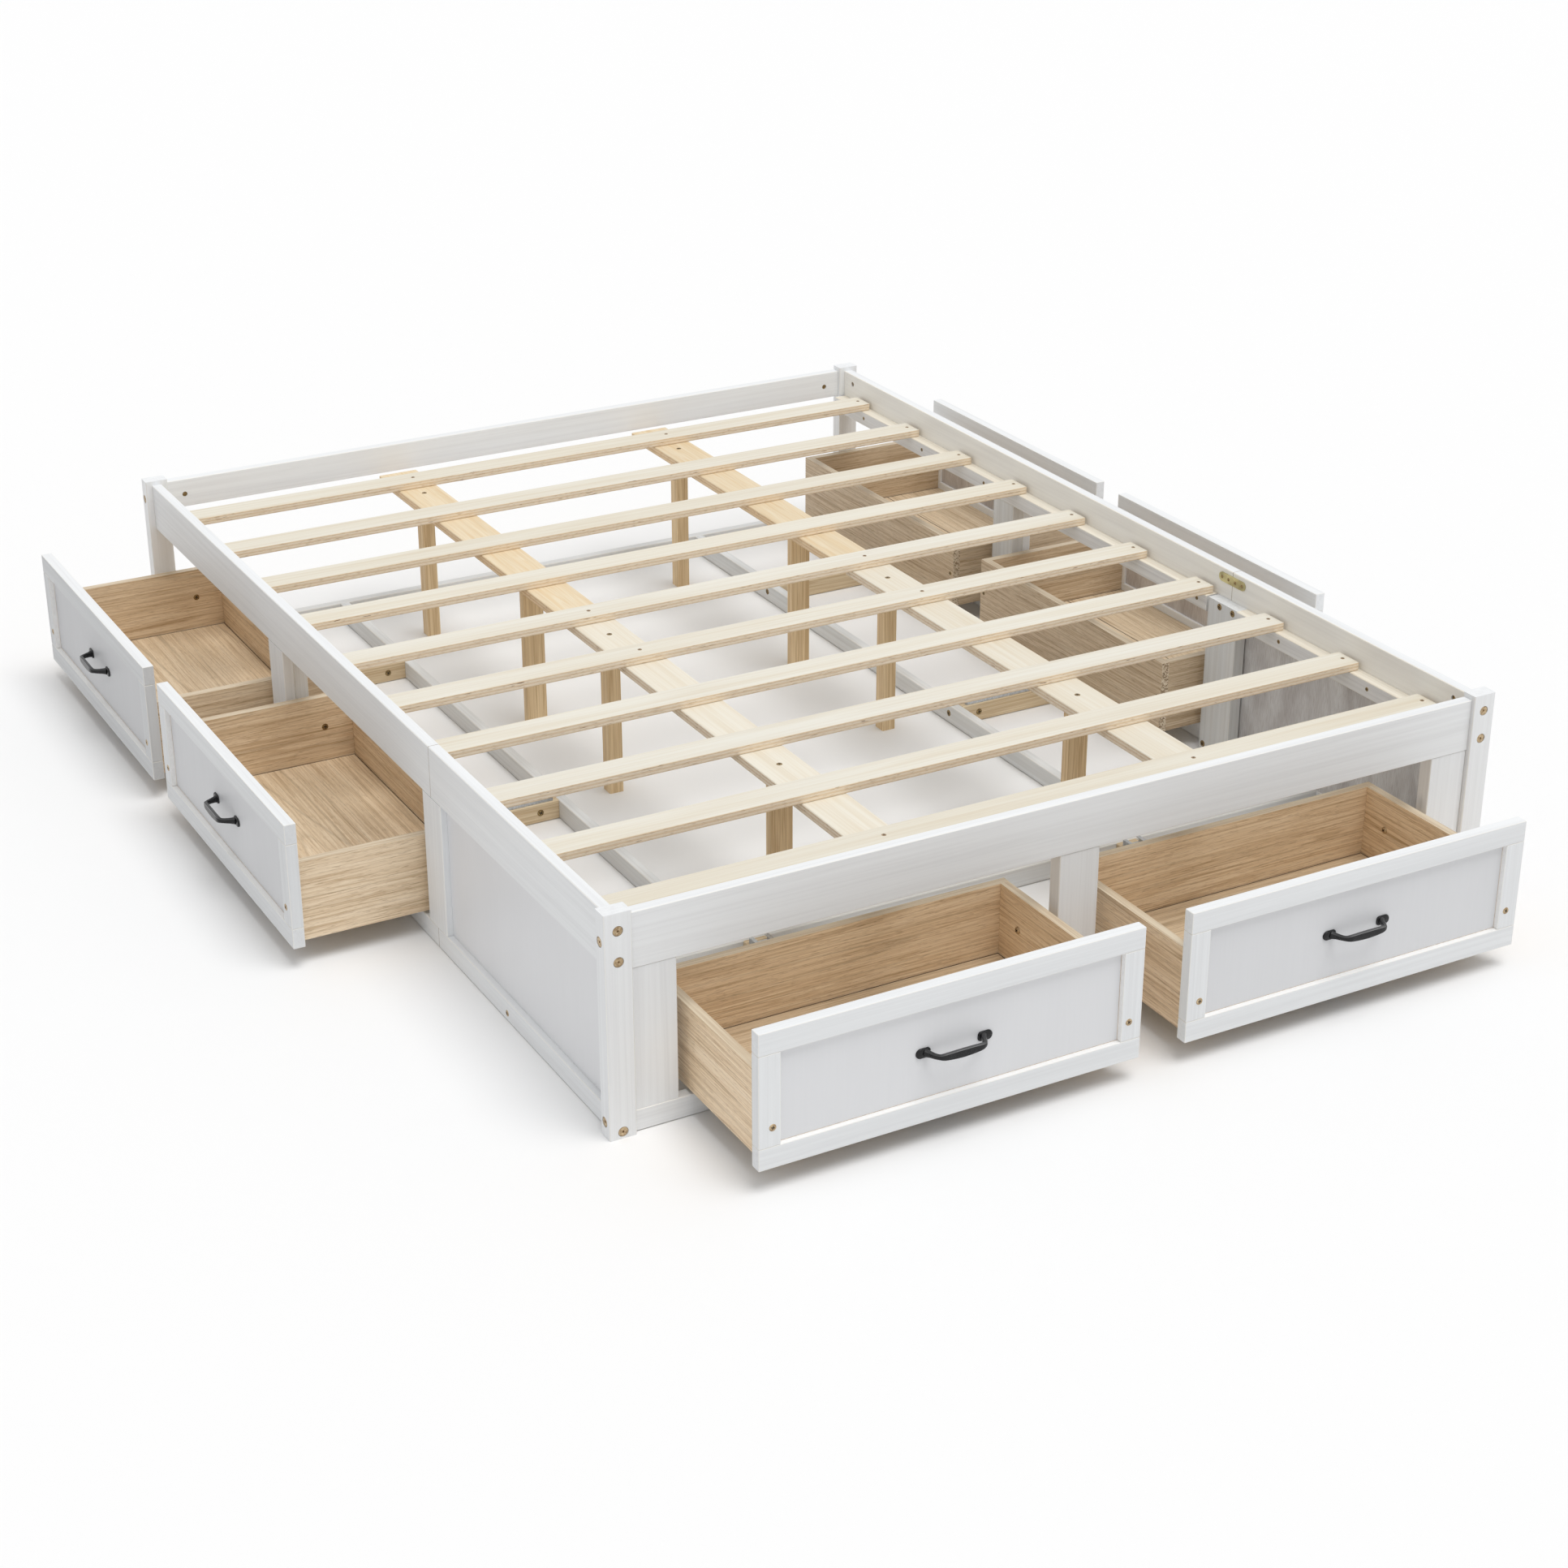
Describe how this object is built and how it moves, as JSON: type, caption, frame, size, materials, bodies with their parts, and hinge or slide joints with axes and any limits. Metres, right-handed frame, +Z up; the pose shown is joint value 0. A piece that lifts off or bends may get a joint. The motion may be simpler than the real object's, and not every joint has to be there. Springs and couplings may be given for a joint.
{
  "type": "platform bed with storage drawers",
  "caption": "Low slatted platform bed with square corner posts and sunk-panel drawers on centre runners in its foot and sides.",
  "frame": {"origin": "on the floor, midway between the outermost faces each way with the drawers standing part open", "axes": "+Z up, +Y from the foot towards the head, +X towards the right-hand drawers"},
  "size_m": [2.078, 2.324, 0.364],
  "materials": {
    "washed": "matt grey-white wash over wood grain",
    "washed_inner": "thin grey wash",
    "plywood": "bare, sanded",
    "pine": "bare, sanded",
    "oak": "satin printed laminate",
    "iron": "black, satin",
    "steel": "zinc plated",
    "brass": "antique"
  },
  "bodies": {
    "frame": {"post_foot_left": "washed", "post_foot_right": "washed", "post_head_left": "washed", "post_head_right": "washed", "foot_top_rail": "washed", "foot_base_rail": "washed", "foot_stiles": "washed", "head_top_rail": "washed", "head_base_rail": "washed_inner", "side_rail_left": "washed", "side_rail_right": "washed", "side_base_rail_left": "washed", "side_base_rail_right": "washed", "side_panels": "washed", "side_stiles": "washed", "inner_uprights": "washed_inner", "ledgers": "plywood", "floor_rails": "washed_inner", "foot_cross_rail": "washed_inner", "runner_bars": "pine", "runner_channels": "steel", "slats": "plywood", "centre_boards": "plywood", "square_legs": "pine", "flat_legs": "pine", "mending_plates": "brass", "plate_screws": "brass", "frame_bolts": "brass", "barrel_nuts": "brass"},
    "foot_left_drawer": {"foot_left_front": "washed", "foot_left_pull": "iron", "foot_left_box": "oak", "foot_left_bottom": "oak", "foot_left_runner": "steel"},
    "foot_right_drawer": {"foot_right_front": "washed", "foot_right_pull": "iron", "foot_right_box": "oak", "foot_right_bottom": "oak", "foot_right_runner": "steel"},
    "left_near_drawer": {"left_near_front": "washed", "left_near_pull": "iron", "left_near_box": "oak", "left_near_bottom": "oak", "left_near_runner": "steel"},
    "left_far_drawer": {"left_far_front": "washed", "left_far_pull": "iron", "left_far_box": "oak", "left_far_bottom": "oak", "left_far_runner": "steel"},
    "right_near_drawer": {"right_near_front": "washed", "right_near_pull": "iron", "right_near_box": "oak", "right_near_bottom": "oak", "right_near_runner": "steel"},
    "right_far_drawer": {"right_far_front": "washed", "right_far_pull": "iron", "right_far_box": "oak", "right_far_bottom": "oak", "right_far_runner": "steel"}
  },
  "joints": [
    {"name": "foot_left_slide", "type": "slide", "parent": "frame", "child": "foot_left_drawer", "axis": [0, -1, 0], "range_m": [-0.23, 0.02]},
    {"name": "foot_right_slide", "type": "slide", "parent": "frame", "child": "foot_right_drawer", "axis": [0, -1, 0], "range_m": [-0.23, 0.02]},
    {"name": "left_near_slide", "type": "slide", "parent": "frame", "child": "left_near_drawer", "axis": [-1, 0, 0], "range_m": [-0.23, 0.02]},
    {"name": "left_far_slide", "type": "slide", "parent": "frame", "child": "left_far_drawer", "axis": [-1, 0, 0], "range_m": [-0.23, 0.02]},
    {"name": "right_near_slide", "type": "slide", "parent": "frame", "child": "right_near_drawer", "axis": [1, 0, 0], "range_m": [-0.23, 0.02]},
    {"name": "right_far_slide", "type": "slide", "parent": "frame", "child": "right_far_drawer", "axis": [1, 0, 0], "range_m": [-0.23, 0.02]}
  ]
}
